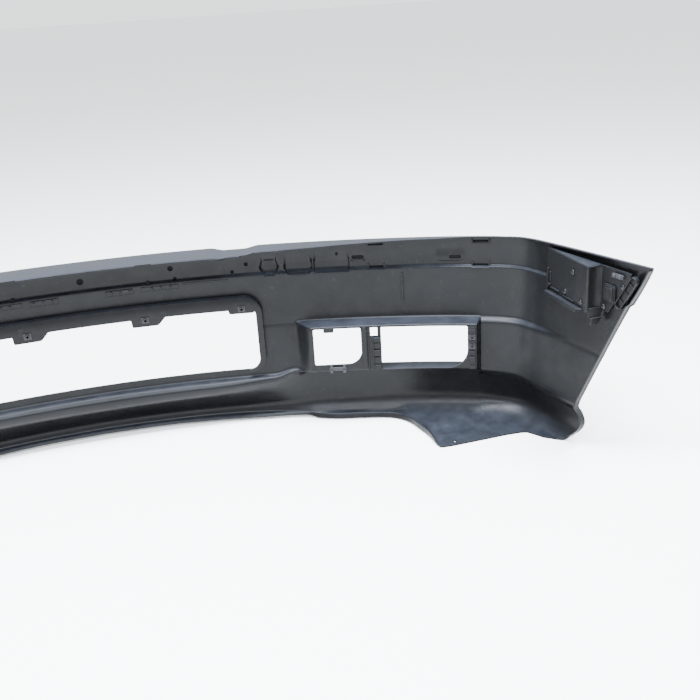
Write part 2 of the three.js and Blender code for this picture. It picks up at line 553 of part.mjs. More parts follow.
// ---- nuts and clips of the front ----
TABS.forEach(([x, , , drop], i) => {
  const z = airTop - AIR_FLANGE + 1 - drop / 2 + 5;
  const nut = onWall(x * wide, z, frameNear - GAP, rounded(14, 12, 1.5, 1), -1.6)
    .add(onWall(x * wide, z, frameNear - GAP - 1.4, ring(4.2, 8), -2.4))
    .subtract(onWall(x * wide, z, frameNear + 10, ring(2.2, 8), -30));
  piece(`grille_nut_${i + 1}`, nut, 'zinc');
});
LAMP_NUTS.forEach((z, i) => {
  const x = lampNutX;
  const nut = onWall(x, z, backO - GAP - 1.2, rounded(12, 11, 1.5, 1), -1.6)
    .add(onWall(x, z, backO - GAP - 2.6, ring(3.8, 8), -2.6))
    .subtract(onWall(x, z, backO + 10, ring(2, 8), -30));
  piece(`lamp_nut_${i + 1}`, nut, 'zinc');
});
const clipX = 452 * wide;
const clipO = backO - 1.4 - GAP;
const ductClip = onWall(clipX, shelfZ + 2, clipO, rounded(32, 8, 1.5, 1), -2.4)
  .add(onWall(clipX - 12, shelfZ + 3, clipO, rounded(6, 17, 1.5, 1), -5))
  .add(onWall(clipX + 12, shelfZ + 3, clipO, rounded(6, 17, 1.5, 1), -5));
piece('duct_clip', ductClip, 'clip');

// ---- the part ----
const finish = {
  skin: { color: 0x2b2c2f, roughness: 0.5, metalness: 0 },
  bracket: { color: 0x26272a, roughness: 0.6, metalness: 0 },
  clip: { color: 0x303236, roughness: 0.45, metalness: 0 },
  rail: { color: 0x1f2022, roughness: 0.5, metalness: 0 },
  rivet: { color: 0x8d9094, roughness: 0.4, metalness: 1 },
  zinc: { color: 0xa7a9ac, roughness: 0.35, metalness: 1 },
};
const materials = Object.fromEntries(Object.entries(finish).map(([key, values]) =>
  [key, new THREE.MeshStandardMaterial({ ...values, name: key })]));
const group = new THREE.Group();
group.name = 'bumper_cover';
const put = (name, solid, key) => {
  const mesh = new THREE.Mesh(toGeometry(solid), materials[key]);
  mesh.name = name;
  group.add(mesh);
};
put('cover_skin', skin, 'skin');
for (const [name, solid, key] of pieces) {
  put(`${name}_left`, solid, key);
  put(`${name}_right`, mirrorSolid(solid), key);
}
// origin under the middle of the whole cover
const extent = new THREE.Box3().setFromObject(group);
const middleY = (extent.min.y + extent.max.y) / 2;
for (const mesh of group.children) mesh.position.set(0, -middleY, -extent.min.z);
export default group;
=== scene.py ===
# Looks of a loose moulded front bumper cover, seen from its hollow inner side.
# Sizes below are millimetres in the cover's own measure: X across, -Y the outer face, Z up,
# with y = 0 at the front of the top edge. put() turns them into the row frame in metres.
import math
import bmesh
import bpy
import numpy as np
from mathutils import Matrix, Vector


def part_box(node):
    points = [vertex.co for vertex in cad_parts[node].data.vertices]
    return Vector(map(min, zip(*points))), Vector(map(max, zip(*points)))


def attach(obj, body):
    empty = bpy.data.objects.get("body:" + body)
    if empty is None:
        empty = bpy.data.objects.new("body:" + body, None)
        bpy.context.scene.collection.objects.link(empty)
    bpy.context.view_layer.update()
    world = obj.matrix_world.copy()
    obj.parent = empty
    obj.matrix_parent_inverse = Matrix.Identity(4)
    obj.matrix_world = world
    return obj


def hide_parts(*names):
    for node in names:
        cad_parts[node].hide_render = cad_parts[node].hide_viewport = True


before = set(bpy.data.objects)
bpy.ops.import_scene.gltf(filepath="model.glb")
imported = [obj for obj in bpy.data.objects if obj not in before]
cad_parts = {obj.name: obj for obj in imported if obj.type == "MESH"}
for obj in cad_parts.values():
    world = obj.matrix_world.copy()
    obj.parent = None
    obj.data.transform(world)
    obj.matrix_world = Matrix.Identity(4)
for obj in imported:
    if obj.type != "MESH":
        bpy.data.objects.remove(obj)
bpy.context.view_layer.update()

# ---- the cover's own measure against the row frame, read off one rivet ----
RIVET_AT = (357.0, 332.0)                      # y and z of box_rivet_1 in the cover's measure
rivet_low, rivet_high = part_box("box_rivet_1_left")
SHIFT = np.array([0.0,
                  (rivet_low.y + rivet_high.y) * 500 - RIVET_AT[0],
                  (rivet_low.z + rivet_high.z) * 500 - RIVET_AT[1]])

# ---- named sizes of the cover ----
HEIGHT, END_RISE, WALL = 355.0, 15.0, 3.0
BAND_Z, WALL_Z = 298.0, 203.0
POCKET_IN, POCKET_OUT = 409.0, 701.0
DUCT_OUT, LAMP_IN, LAMP_OUT = 497.0, 533.0, 686.0
AIR_HALF, AIR_TOP, AIR_LOW, AIR_CORNER = 316.0, 258.0, 113.0, 30.0
AIR_FLANGE, AIR_LEDGE = 21.0, 13.0
POCKET_DEEP, SIDE_STEP, ARCH_LIP = 34.0, 8.0, 8.0
CORNER = 745.0
RIM_RAISE, RIM_WIDE, RIM_TALL = 5.0, 9.0, 14.0
LAMP_NUT_X, LAMP_NUTS = LAMP_OUT + 8, (175, 158)   # place and heights of the lamp nuts
TABS = [(105, 37, 22, 15), (282, 26, 21, 8)]   # grille tabs: centre, half top, half foot, drop
BACK = -41.0                                   # inner face of the lamp pocket


def ramp(v, a, b):
    t = min(1.0, max(0.0, (v - a) / (b - a)))
    return t * t * (3 - 2 * t)


def lerp(a, b, k):
    return a + (b - a) * k


def tab_hole_z(drop):
    """Height of the screw hole in a grille tab."""
    return AIR_TOP - AIR_FLANGE + 6 - drop / 2


# ---- plan curve: centripetal Catmull-Rom through the plan points ----
PLAN = np.array([[-150, 7], [0, 0], [150, 7], [300, 28.5], [450, 64], [600, 113], [690, 151],
                 [742, 179], [766, 201], [780, 229], [791, 266], [809, 338], [827, 414],
                 [846, 495], [855, 533]], float)


def plan_table(points, steps=90):
    ends = np.vstack([2 * points[0] - points[1], points, 2 * points[-1] - points[-2]])
    out = []
    for i in range(1, len(ends) - 2):
        p = ends[i - 1:i + 3]
        d = [max(1e-6, np.linalg.norm(p[k + 1] - p[k]) ** 0.5) for k in range(3)]
        t1 = (p[1] - p[0]) / d[0] - (p[2] - p[0]) / (d[0] + d[1]) + (p[2] - p[1]) / d[1]
        t2 = (p[2] - p[1]) / d[1] - (p[3] - p[1]) / (d[1] + d[2]) + (p[3] - p[2]) / d[2]
        t1, t2 = t1 * d[1], t2 * d[1]
        for k in range(steps):
            u = k / steps
            out.append(p[1] * (2 * u ** 3 - 3 * u ** 2 + 1) + p[2] * (3 * u ** 2 - 2 * u ** 3)
                       + t1 * (u ** 3 - 2 * u ** 2 + u) + t2 * (u ** 3 - u ** 2))
    out = np.array(out + [points[-1]])
    out = out[out[:, 0] >= -1e-9]
    run = np.concatenate([[0], np.cumsum(np.linalg.norm(np.diff(out, axis=0), axis=1))])
    return run, out


RUN, CURVE = plan_table(PLAN)


def plan_at(run):
    """Point and outward normal of the plan curve."""
    at = np.array([np.interp(run, RUN, CURVE[:, 0]), np.interp(run, RUN, CURVE[:, 1])])
    if run < 1:
        return at, np.array([0.0, -1.0])
    a = [np.interp(max(0.0, run - 2.5), RUN, CURVE[:, k]) for k in (0, 1)]
    b = [np.interp(run + 2.5, RUN, CURVE[:, k]) for k in (0, 1)]
    t = np.array(b) - np.array(a)
    t /= np.linalg.norm(t)
    return at, np.array([t[1], -t[0]])


def run_at_x(x):
    return float(np.interp(x, CURVE[:, 0], RUN))


def run_at_y(y):
    return float(np.interp(y, CURVE[:, 1], RUN))


CORNER_RUN = run_at_x(CORNER)
ARCH = np.array([[0, 305], [20, 335], [38, 349], [52, 354], [74, 352], [87, 354], [142, 379],
                 [194, 402], [244, 425], [292, 450], [339, 478], [370, 495]], float)


def smooth_table(rows):
    """Monotone cubic reading of a [position, value...] table."""
    rows = np.array(rows, float)
    x, y = rows[:, 0], rows[:, 1:]
    h = np.diff(x)[:, None]
    d = np.diff(y, axis=0) / h
    m = np.zeros_like(y)
    m[0], m[-1] = d[0], d[-1]
    for i in range(1, len(x) - 1):
        same = d[i - 1] * d[i] > 0
        w1, w2 = 2 * h[i] + h[i - 1], h[i] + 2 * h[i - 1]
        with np.errstate(divide="ignore", invalid="ignore"):
            v = (w1 + w2) / (w1 / d[i - 1] + w2 / d[i])
        m[i] = np.where(same, v, 0.0)

    def read(v):
        v = min(max(v, x[0]), x[-1])
        i = min(len(x) - 2, max(0, int(np.searchsorted(x, v)) - 1))
        u = (v - x[i]) / h[i]
        return (y[i] * (2 * u ** 3 - 3 * u ** 2 + 1) + m[i] * h[i] * (u ** 3 - 2 * u ** 2 + u)
                + y[i + 1] * (3 * u ** 2 - 2 * u ** 3) + m[i + 1] * h[i] * (u ** 3 - u ** 2))
    return read


arch_read = smooth_table(ARCH)


def arch_run(z):
    return run_at_y(float(arch_read(min(370.0, max(0.0, z)))[0]))


# inner surface below the main wall: outward offset and height of seven rows
chin_read = smooth_table([
    [0, -7, 98, -17, 95, -25, 85, -20, 68, 12, 44, 28, 24, 24, 11],
    [200, -7, 98, -17, 95, -25, 86, -19, 70, 10, 44, 24, 24, 20, 11],
    [330, -10, 100, -20, 96, -20, 88, -12, 76, 6, 48, 16, 26, 10, 11],
    [POCKET_IN - 35, -16, 112, -22, 106, -16, 100, -10, 90, 4, 56, 11, 28, 3, 11],
    [POCKET_IN, -41, 112, -37, 108, -25, 108, -8, 110, 3, 66, 8, 30, -4, 11],
    [DUCT_OUT + 6, -41, 112, -37, 108, -25, 108, -8, 110, 3, 68, 7, 32, -7, 11],
    [LAMP_IN, -41, 111, -37, 107, -25, 108, -8, 111, 3, 70, 6, 34, -9, 11],
    [POCKET_OUT, -41, 111, -37, 107, -25, 108, -7, 111, 3, 66, 6, 32, -12, 11],
    [POCKET_OUT + 6, -15, 108, -15, 98, -12, 93, -6, 88, 4, 62, 7, 31, -12, 12],
    [CORNER, -15, 110, -15, 96, -12, 90, -3, 76, 6, 52, 9, 28, -8, 12],
    [795, -14, 100, -14, 88, -11, 82, -2, 70, 8, 48, 9, 28, -2, 12],
    [845, -10, 98, -10, 86, -7, 80, 1, 70, 8, 50, 9, 30, 3, 13],
])
floor_read = smooth_table([
    [0, 0, -9], [100, 100, -4.5], [200, 200, 9], [300, 300, 31.5], [392, 389, 57],
    [405, 406, 68], [442, 442, 85], [480, 479, 96], [530, 534, 116], [550, 550, 129],
    [564, 564, 152], [576, 572, 185], [588, 579, 222], [598, 581, 256], [606, 588, 263],
    [620, 606, 264], [661, 661, 262], [705, 715, 260], [745, 742, 261], [765, 752, 264],
    [790, 762, 277], [815, 773, 293], [845, 786, 305],
])


def section(at):
    """Outward offset and height of each row of the inner surface."""
    x, side = min(at, CORNER), max(0.0, (at - CORNER) / 100)
    in_pocket = ramp(x, POCKET_IN - 35, POCKET_IN) * (1 - ramp(x, POCKET_OUT, POCKET_OUT + 6))
    outboard = ramp(x, POCKET_OUT, POCKET_OUT + 6)
    if at < 620:
        flange = lerp(lerp(75, 56, ramp(x, 240, 272)), 20, ramp(x, 300, 640))
    else:
        flange = lerp(20, 9, ramp(x, 620, 700))
    dip = 5 * ramp(x, 236, 262) * (1 - ramp(x, 296, 326))
    top = HEIGHT + END_RISE * side - dip - WALL
    near = -6 - POCKET_DEEP * in_pocket - SIDE_STEP * outboard * (1 - ramp(side, 0.15, 0.75))
    c = chin_read(at)
    rows = [(-flange, top), (-4, top), (-3, top - 3), (0, (top + BAND_Z) / 2), (0, BAND_Z + 3),
            (-6, BAND_Z), (-4, (BAND_Z + WALL_Z) / 2), (-6, WALL_Z),
            (near, WALL_Z - 3 - 4 * outboard), (near - 1, WALL_Z - 9 - 4 * outboard)]
    return rows + [(c[i], c[i + 1]) for i in range(0, 14, 2)]


def station_point(at, o, z):
    """Point at a front place, or at CORNER + 100 q on the side (q from corner to arch)."""
    side = max(0.0, (at - CORNER) / 100)
    run = lerp(CORNER_RUN, arch_run(z), side) if side > 0 else run_at_x(at)
    p, n = plan_at(run)
    return np.array([p[0] + n[0] * o, p[1] + n[1] * o, z])


def coarse_column(at):
    """Section points of one place, carried on over the floor to its free edge."""
    pts = [station_point(at, o, z) for o, z in section(at)]
    foot = pts[-1]
    ex, ey = floor_read(at)
    flat = ramp(at, 582, 606)
    edge = np.array([ex, ey, WALL + max(RIM_RAISE * (1 - ramp(at, 388, 406)), 0.5 * (1 - flat))])
    back = foot * [1, 1, 0] + [0, 0, edge[2]] - edge
    far = np.linalg.norm(back)
    inset = lerp(RIM_WIDE, RIM_WIDE / 2, ramp(at, 388, 406))
    bead = edge + back / far * min(inset, far / 3)
    bead[2] = lerp(RIM_TALL, WALL, flat)
    middle = lerp(foot, bead, 0.5)
    middle[2] = lerp(8, WALL, flat)
    return pts + [middle, bead, edge]


STATIONS = np.unique(np.round(np.concatenate([
    np.arange(0, 320, 4.0), np.arange(320, 500, 2.0), np.arange(500, 696, 3.0),
    np.arange(696, 714, 1.0), np.arange(714, CORNER, 3.0), np.arange(CORNER, 845.5, 1.0)]), 3))

# fillet setback, fillet steps and straight steps to the next row, one for each row
ROWS = [(0, 0, 8), (4, 3, 1), (5, 3, 13), (14, 3, 12), (1.6, 2, 2), (1.2, 2, 9), (30, 6, 9),
        (3.0, 3, 12), (3.0, 4, 2), (5, 3, 20), (4, 4, 2), (8, 6, 3), (12, 6, 3), (26, 7, 3),
        (26, 7, 3), (20, 6, 3), (16, 6, 5), (60, 6, 5), (7, 6, 3), (0, 0, 0)]


def fine_rows(c):
    """Rounds the corners of every column and fills the straight runs between them."""
    length = np.maximum(1e-4, np.linalg.norm(np.diff(c, axis=1), axis=2))
    out = []
    for j, (radius, arc, _) in enumerate(ROWS):
        if arc == 0:
            pts = [c[:, j]]
        else:
            r = np.minimum(radius, 0.49 * np.minimum(length[:, j - 1], length[:, j]))[:, None]
            a = c[:, j] + (c[:, j - 1] - c[:, j]) / length[:, j - 1, None] * r
            b = c[:, j] + (c[:, j + 1] - c[:, j]) / length[:, j, None] * r
            pts = [(1 - t) ** 2 * a + 2 * t * (1 - t) * c[:, j] + t * t * b
                   for t in np.linspace(0, 1, arc + 1)]
        if out:
            steps = ROWS[j - 1][2]
            start = out[-1]
            out += [lerp(start, pts[0], k / steps) for k in range(1, steps)]
        out += pts
    return np.stack(out, axis=1)


def outward(c):
    """Coarse grid moved outward by the wall thickness."""
    a = c[1:, 1:] - c[:-1, :-1]
    b = c[:-1, 1:] - c[1:, :-1]
    f = np.cross(b, a)
    f /= np.maximum(1e-9, np.linalg.norm(f, axis=2))[:, :, None]
    n = np.zeros_like(c)
    for i0, j0 in ((0, 0), (1, 0), (0, 1), (1, 1)):
        n[i0:i0 + f.shape[0], j0:j0 + f.shape[1]] += f
    n /= np.maximum(1e-9, np.linalg.norm(n, axis=2))[:, :, None]
    least = np.ones(c.shape[:2])
    for i0, j0 in ((0, 0), (1, 0), (0, 1), (1, 1)):
        view = least[i0:i0 + f.shape[0], j0:j0 + f.shape[1]]
        part = n[i0:i0 + f.shape[0], j0:j0 + f.shape[1]]
        np.minimum(view, (part * f).sum(2), out=view)
    return c + n * (WALL / np.maximum(0.7, least))[:, :, None]


# moulded recesses and raised fields of the trim band: centre, half sizes, corner, depth, slope
FIELDS = [
    (338, 311, 16, 16, 16, 5.5, 2.0), (390.5, 311, 24.5, 16, 12, 4.8, 2.4),
    (450, 308.5, 31.5, 13.5, 6, 4.8, 2.0), (655, 318.5, 25, 9.5, 7, -2.0, 1.6),
    (497, 319.5, 14, 7, 6.9, 1.2, 2.5), (118, 326, 18, 10, 4, -0.7, 2.0),
]


def field_depth(x, z):
    d = np.zeros_like(x)
    for cx, cz, hw, hh, r, deep, slope in FIELDS:
        qx, qz = np.abs(x - cx) - hw + r, np.abs(z - cz) - hh + r
        sd = (np.hypot(np.maximum(qx, 0), np.maximum(qz, 0)) + np.minimum(np.maximum(qx, qz), 0)
              - r)
        t = np.clip(-sd / slope + 0.5, 0, 1)
        d += deep * t * t * (3 - 2 * t)
    return d


def build_skin():
    """Closed shell: inner grid, outer grid and a rounded edge along the rim and the flange."""
    coarse = np.array([coarse_column(a) for a in STATIONS])
    full = np.concatenate([(coarse[1:] * [-1, 1, 1])[::-1], coarse])
    stations = np.concatenate([STATIONS[1:][::-1], STATIONS])
    outer_c = outward(full)
    inner, outer = fine_rows(full), fine_rows(outer_c)
    normals = np.array([plan_at(run_at_x(min(s, CORNER)))[1] for s in stations])
    normals[:len(STATIONS) - 1, 0] *= -1
    side = np.where(stations[:, None] < CORNER, 1.0, 0.0)
    for grid in (inner, outer):
        d = field_depth(np.repeat(stations[:, None], grid.shape[1], 1), grid[:, :, 2]) * side
        inside = np.abs(grid[:, :, 2] - 320) < 32
        grid[:, :, :2] += normals[:, None, :] * (d * inside)[:, :, None]
    caps = []
    for j, k in ((-1, -2), (0, 1)):
        p, q = inner[:, j], outer[:, j]
        e = inner[:, j] - inner[:, k]
        e = e / np.maximum(1e-6, np.linalg.norm(e, axis=1))[:, None]
        steps = [math.pi * s / 5 for s in range(1, 5)]
        rows = [lerp(p, q, (1 - math.cos(t)) / 2) + e * math.sin(t) for t in steps]
        caps.append(rows if j == -1 else rows[::-1])
    loop = [inner[:, j] for j in range(inner.shape[1])] + caps[0]
    loop += [outer[:, j] for j in range(outer.shape[1] - 1, -1, -1)] + caps[1]
    grid = np.stack(loop, axis=1)
    nc, nr = grid.shape[:2]
    index = np.arange(nc * nr).reshape(nc, nr)
    nxt = np.roll(index, -1, axis=1)
    quads = np.stack([index[:-1], nxt[:-1], nxt[1:], index[1:]], axis=2).reshape(-1, 4)
    faces = quads.tolist()
    n = inner.shape[1]
    for i, flip in ((0, False), (nc - 1, True)):
        base = i * nr
        ends = []
        for j in range(n - 1):
            ends.append([base + j, base + j + 1, base + nr - 1 - 4 - (j + 1), base + nr - 1 - 4 - j])
        ends.append([base + n - 1 + k for k in range(6)])
        ends.append([base + (nr - 5 + k) % nr for k in range(6)])
        faces += [f[::-1] if not flip else f for f in ends]
    return grid.reshape(-1, 3), faces


# ---- placing pieces ----
def put(points):
    return (np.asarray(points, float) + SHIFT) / 1000.0


def wall_frame(x, z, o):
    """Origin on the front wall at plan x, with the directions along it, up and inward."""
    p, n = plan_at(run_at_x(abs(x)))
    s = -1.0 if x < 0 else 1.0
    return (np.array([s * (p[0] + n[0] * o), p[1] + n[1] * o, z]),
            np.array([-n[1], s * n[0], 0.0]), np.array([0.0, 0.0, 1.0]),
            np.array([-s * n[0], -n[1], 0.0]))


def side_frame(y, z, o):
    p, n = plan_at(run_at_y(y))
    return (np.array([p[0] + n[0] * o, p[1] + n[1] * o, z]), np.array([-n[1], n[0], 0.0]),
            np.array([0.0, 0.0, 1.0]), np.array([-n[0], -n[1], 0.0]))


class Body:
    """Closed bodies gathered into one mesh, in the cover's measure."""

    def __init__(self):
        self.verts, self.faces = [], []

    def add(self, verts, faces):
        base = len(self.verts)
        self.verts += [tuple(v) for v in verts]
        self.faces += [[base + i for i in f] for f in faces]
        return self

    def prism(self, outline, place, start, end):
        """Outline (a, b) on the frame's first two directions, carried along the third."""
        origin, ax, ay, az = place
        n = len(outline)
        low = [origin + ax * a + ay * b + az * start for a, b in outline]
        high = [origin + ax * a + ay * b + az * end for a, b in outline]
        faces = [list(range(n))[::-1], [n + i for i in range(n)]]
        faces += [[i, (i + 1) % n, n + (i + 1) % n, n + i] for i in range(n)]
        return self.add(low + high, faces)

    def loft(self, loops, closed=False):
        n = len(loops[0])
        verts = [p for loop in loops for p in loop]
        last = len(loops) - 1
        faces = [[i * n + j, i * n + (j + 1) % n, (i + 1) % len(loops) * n + (j + 1) % n,
                  (i + 1) % len(loops) * n + j]
                 for i in range(last + (1 if closed else 0)) for j in range(n)]
        if not closed:
            faces += [list(range(n))[::-1], [last * n + j for j in range(n)]]
        return self.add(verts, faces)

    def lathe(self, profile, place, steps=24):
        """Profile (radius, height) turned about the frame's third direction."""
        origin, ax, ay, az = place
        loops = []
        for k in range(steps):
            t = 2 * math.pi * k / steps
            d = ax * math.cos(t) + ay * math.sin(t)
            loops.append([origin + d * r + az * h for r, h in profile])
        n = len(profile)
        verts = [p for loop in loops for p in loop]
        faces = [[i * n + j, (i + 1) % steps * n + j, (i + 1) % steps * n + j + 1, i * n + j + 1]
                 for i in range(steps) for j in range(n - 1)]
        faces += [[i * n for i in range(steps)][::-1], [i * n + n - 1 for i in range(steps)]]
        return self.add(verts, faces)

    def mirrored(self):
        other = Body()
        other.verts = [(-x, y, z) for x, y, z in self.verts]
        other.faces = [f[::-1] for f in self.faces]
        return other

    def join(self, other):
        return self.add(other.verts, other.faces)

    def mesh(self, name):
        me = bpy.data.meshes.new(name)
        me.from_pydata(put(self.verts).tolist() if self.verts else [], [], self.faces)
        bm = bmesh.new()
        bm.from_mesh(me)
        bmesh.ops.remove_doubles(bm, verts=bm.verts, dist=1e-7)
        bmesh.ops.recalc_face_normals(bm, faces=bm.faces)
        bm.to_mesh(me)
        bm.free()
        return me


def rounded(w, h, radii, steps=6):
    """Rectangle with its own radius at lower right, upper right, upper left and lower left."""
    if not isinstance(radii, (list, tuple)):
        radii = [radii] * 4
    out = []
    for (sx, sy, a), r in zip([(1, -1, -90), (1, 1, 0), (-1, 1, 90), (-1, -1, 180)], radii):
        for k in range(steps + 1):
            t = math.radians(a + 90 * k / steps)
            out.append((sx * (w / 2 - r) + r * math.cos(t), sy * (h / 2 - r) + r * math.sin(t)))
    return out


def ring(r, n=16):
    return [(r * math.cos(2 * math.pi * k / n), r * math.sin(2 * math.pi * k / n))
            for k in range(n)]


def add_object(name, mesh, material, sharp=32, bevel=0.0, replaces=()):
    obj = bpy.data.objects.new(name, mesh)
    bpy.context.scene.collection.objects.link(obj)
    mesh.materials.clear()
    mesh.materials.append(material)
    if bevel:
        mod = obj.modifiers.new("edge", "BEVEL")
        mod.width = bevel / 1000
        mod.segments = 2
        mod.limit_method = "ANGLE"
        mod.angle_limit = math.radians(38)
        mod.harden_normals = False
    mesh.shade_smooth()
    mesh.set_sharp_from_angle(angle=math.radians(sharp))
    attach(obj, "root")
    if replaces:
        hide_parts(*replaces)
    return obj


def boolean(mesh, cutter, operation):
    """Mesh with a closed cutter added or taken away."""
    scene = bpy.context.scene.collection
    a = bpy.data.objects.new("work_a", mesh)
    b = bpy.data.objects.new("work_b", cutter)
    scene.objects.link(a), scene.objects.link(b)
    mod = a.modifiers.new("cut", "BOOLEAN")
    mod.operation, mod.object, mod.solver = operation, b, "MANIFOLD"
    bpy.context.view_layer.update()
    graph = bpy.context.evaluated_depsgraph_get()
    out = bpy.data.meshes.new_from_object(a.evaluated_get(graph))
    for o in (a, b):
        bpy.data.objects.remove(o)
    return out


# ---- materials ----
# bluish tone laid on upward faces, dust and painted light from above; then the scratch and speck
# tones
DUST_AND_TOP_LIGHT, SCRATCH, SPECK = (0.048, 0.056, 0.076), (0.04, 0.04, 0.042), (0.045, 0.045, 0.047)


def plastic(name, base, rough, spread=0.1, dust_and_top_light=0.3, grain=0.12, grain_scale=1500.0):
    """Moulded plastic: slow colour changes, dust and painted light from above on upward faces, fine
    grain and scratches.
    """
    mat = bpy.data.materials.new(name)
    mat.use_nodes = True
    t = mat.node_tree
    n, link = t.nodes, t.links.new
    shader = n["Principled BSDF"]
    shader.inputs["Specular IOR Level"].default_value = 0.11
    shader.inputs["Metallic"].default_value = 0.0
    where = n.new("ShaderNodeTexCoord")

    def noise(scale, detail, stretch=None, rough_in=0.55):
        x = n.new("ShaderNodeTexNoise")
        x.inputs["Scale"].default_value = scale
        x.inputs["Detail"].default_value = detail
        x.inputs["Roughness"].default_value = rough_in
        if stretch:
            m = n.new("ShaderNodeMapping")
            m.inputs["Scale"].default_value = stretch[:3]
            m.inputs["Rotation"].default_value = stretch[3:]
            link(where.outputs["Object"], m.inputs["Vector"])
            link(m.outputs["Vector"], x.inputs["Vector"])
        else:
            link(where.outputs["Object"], x.inputs["Vector"])
        return x.outputs["Fac"]

    def remap(value, a, b, c, d):
        m = n.new("ShaderNodeMapRange")
        for key, v in (("From Min", a), ("From Max", b), ("To Min", c), ("To Max", d)):
            m.inputs[key].default_value = v
        link(value, m.inputs["Value"])
        return m.outputs["Result"]

    def math_node(kind, a, b):
        m = n.new("ShaderNodeMath")
        m.operation = kind
        for i, v in enumerate((a, b)):
            if isinstance(v, (int, float)):
                m.inputs[i].default_value = v
            else:
                link(v, m.inputs[i])
        return m.outputs[0]

    def mix(fac, a, b):
        m = n.new("ShaderNodeMix")
        m.data_type = "RGBA"
        link(fac, m.inputs[0])
        for i, v in ((6, a), (7, b)):
            if isinstance(v, tuple):
                m.inputs[i].default_value = (*v, 1)
            else:
                link(v, m.inputs[i])
        return m.outputs[2]

    flow = noise(7.0, 5)
    cloud = noise(38.0, 4)
    fine = noise(grain_scale, 2)
    speck = noise(420.0, 3)
    scratch = noise(30.0, 2, (1.0, 16.0, 4.0, 0.3, 0.2, 0.5))
    scratch_line = remap(scratch, 0.66, 0.7, 0.0, 1.0)
    dark = tuple(c * (1 - spread * 2) for c in base)
    light = tuple(c * (1 + spread * 2) for c in base)
    colour = mix(remap(flow, 0.3, 0.7, 0.0, 1.0), dark, light)
    geometry = n.new("ShaderNodeNewGeometry")
    split = n.new("ShaderNodeSeparateXYZ")
    link(geometry.outputs["Normal"], split.inputs[0])
    # upward faces get a lighter, bluer tone and more roughness: partly dust, partly painted light
    # from above
    up = remap(split.outputs["Z"], 0.25, 1.0, 0.0, 1.0)
    dust_and_top_light_mask = math_node("MULTIPLY", math_node("MULTIPLY", up, remap(cloud, 0.3, 0.75, 0.45, 1.0)),
                      dust_and_top_light)
    colour = mix(dust_and_top_light_mask, colour, DUST_AND_TOP_LIGHT)
    colour = mix(math_node("MULTIPLY", scratch_line, 0.10), colour, SCRATCH)
    colour = mix(math_node("MULTIPLY", remap(speck, 0.72, 0.8, 0.0, 1.0), 0.06), colour,
                 SPECK)
    link(colour, shader.inputs["Base Color"])
    r = math_node("ADD", remap(cloud, 0.3, 0.7, rough - 0.05, rough + 0.07),
                  math_node("MULTIPLY", dust_and_top_light_mask, 0.25))
    link(r, shader.inputs["Roughness"])
    bump = n.new("ShaderNodeBump")
    bump.inputs["Strength"].default_value = grain
    bump.inputs["Distance"].default_value = 0.0003
    link(math_node("ADD", fine, math_node("MULTIPLY", scratch_line, -0.1)), bump.inputs["Height"])
    wave = n.new("ShaderNodeBump")
    wave.inputs["Strength"].default_value = 0.16
    wave.inputs["Distance"].default_value = 0.004
    link(flow, wave.inputs["Height"])
    link(bump.outputs["Normal"], wave.inputs["Normal"])
    link(wave.outputs["Normal"], shader.inputs["Normal"])
    return mat


def metal(name, base, rough):
    """Dull metal with blotches in its colour and roughness."""
    mat = bpy.data.materials.new(name)
    mat.use_nodes = True
    t = mat.node_tree
    n, link = t.nodes, t.links.new
    shader = n["Principled BSDF"]
    shader.inputs["Metallic"].default_value = 1.0
    where = n.new("ShaderNodeTexCoord")
    a = n.new("ShaderNodeTexNoise")
    a.inputs["Scale"].default_value = 260.0
    a.inputs["Detail"].default_value = 5.0
    link(where.outputs["Object"], a.inputs["Vector"])
    m = n.new("ShaderNodeMapRange")
    m.inputs["To Min"].default_value = rough - 0.12
    m.inputs["To Max"].default_value = rough + 0.18
    link(a.outputs["Fac"], m.inputs["Value"])
    link(m.outputs["Result"], shader.inputs["Roughness"])
    c = n.new("ShaderNodeMix")
    c.data_type = "RGBA"
    c.inputs[6].default_value = (*[v * 0.55 for v in base], 1)
    c.inputs[7].default_value = (*base, 1)
    link(a.outputs["Fac"], c.inputs[0])
    link(c.outputs[2], shader.inputs["Base Color"])
    b = n.new("ShaderNodeBump")
    b.inputs["Strength"].default_value = 0.25
    b.inputs["Distance"].default_value = 0.0002
    link(a.outputs["Fac"], b.inputs["Height"])
    link(b.outputs["Normal"], shader.inputs["Normal"])
    return mat


SKIN = plastic("skin_plastic", (0.0030, 0.0032, 0.0036), 0.33)
BRACKET = plastic("bracket_plastic", (0.0046, 0.0048, 0.0052), 0.42, dust_and_top_light=0.25, grain=0.2)
CLIP = plastic("clip_nylon", (0.020, 0.021, 0.023), 0.42, dust_and_top_light=0.2, grain=0.06)
RAIL = plastic("rail_nylon", (0.0045, 0.0047, 0.0050), 0.4, dust_and_top_light=0.2, grain=0.06)
RIVET = metal("rivet_aluminium", (0.036, 0.037, 0.040), 0.42)
ZINC = metal("zinc_steel", (0.030, 0.030, 0.032), 0.38)

# ---- the skin ----
skin = Body().add(*build_skin()).mesh("cover_skin_shell")

world_frame = (np.array([0.0, 0.0, (AIR_TOP + AIR_LOW) / 2]), np.array([1.0, 0, 0]),
               np.array([0, 0, 1.0]), np.array([0, 1.0, 0]))
air = Body().prism(rounded(2 * AIR_HALF, AIR_TOP - AIR_LOW, AIR_CORNER, 10), world_frame, -120, 200)
skin = boolean(skin, air.mesh("air"), "DIFFERENCE")


def wall_point(x, z, o):
    p, n = plan_at(run_at_x(abs(x)))
    s = -1.0 if x < 0 else 1.0
    return np.array([s * (p[0] + n[0] * o), p[1] + n[1] * o, z])


def skin_offset(x, z):
    rows = section(x)
    for a, b in zip(rows[2:-1], rows[3:]):
        if b[1] <= z <= a[1]:
            return lerp(a[0], b[0], (a[1] - z) / max(1e-6, a[1] - b[1]))
    return -6.0


